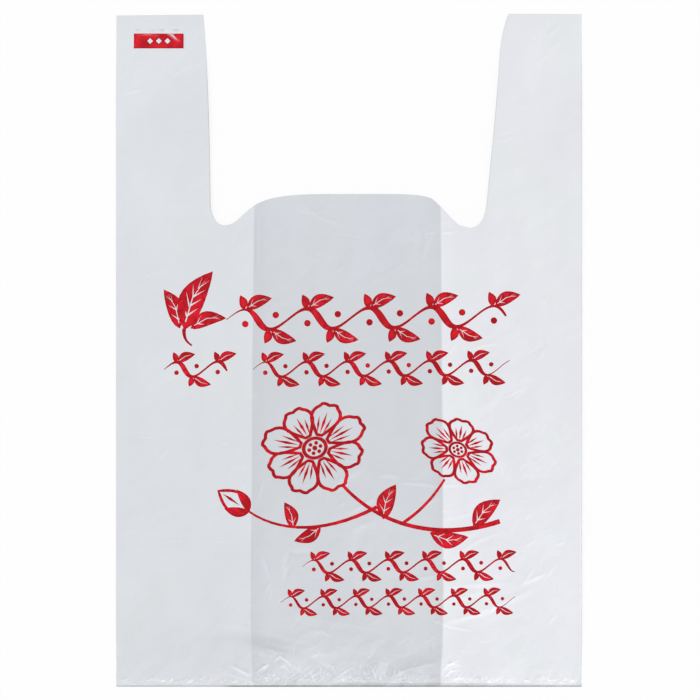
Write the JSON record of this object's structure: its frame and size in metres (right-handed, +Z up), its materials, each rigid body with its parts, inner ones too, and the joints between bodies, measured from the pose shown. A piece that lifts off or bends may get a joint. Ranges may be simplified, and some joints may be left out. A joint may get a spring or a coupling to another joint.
{
  "type": "film carrier bag",
  "caption": "Vest-style carrier bag of thin translucent film, folded flat, with tucked-in side gussets, a welded bottom, two loop handles and a punched mouth between them.",
  "frame": {"origin": "under the middle of the flat bag, on the surface that it lies on", "axes": "+X across the bag, +Y from the bottom weld towards the handles, +Z up out of the printed front"},
  "size_m": [0.3, 0.434, 0.0034],
  "materials": {
    "film": "satin",
    "ink": "satin"
  },
  "bodies": {
    "root": {"carrier_bag": "film"}
  },
  "joints": []
}
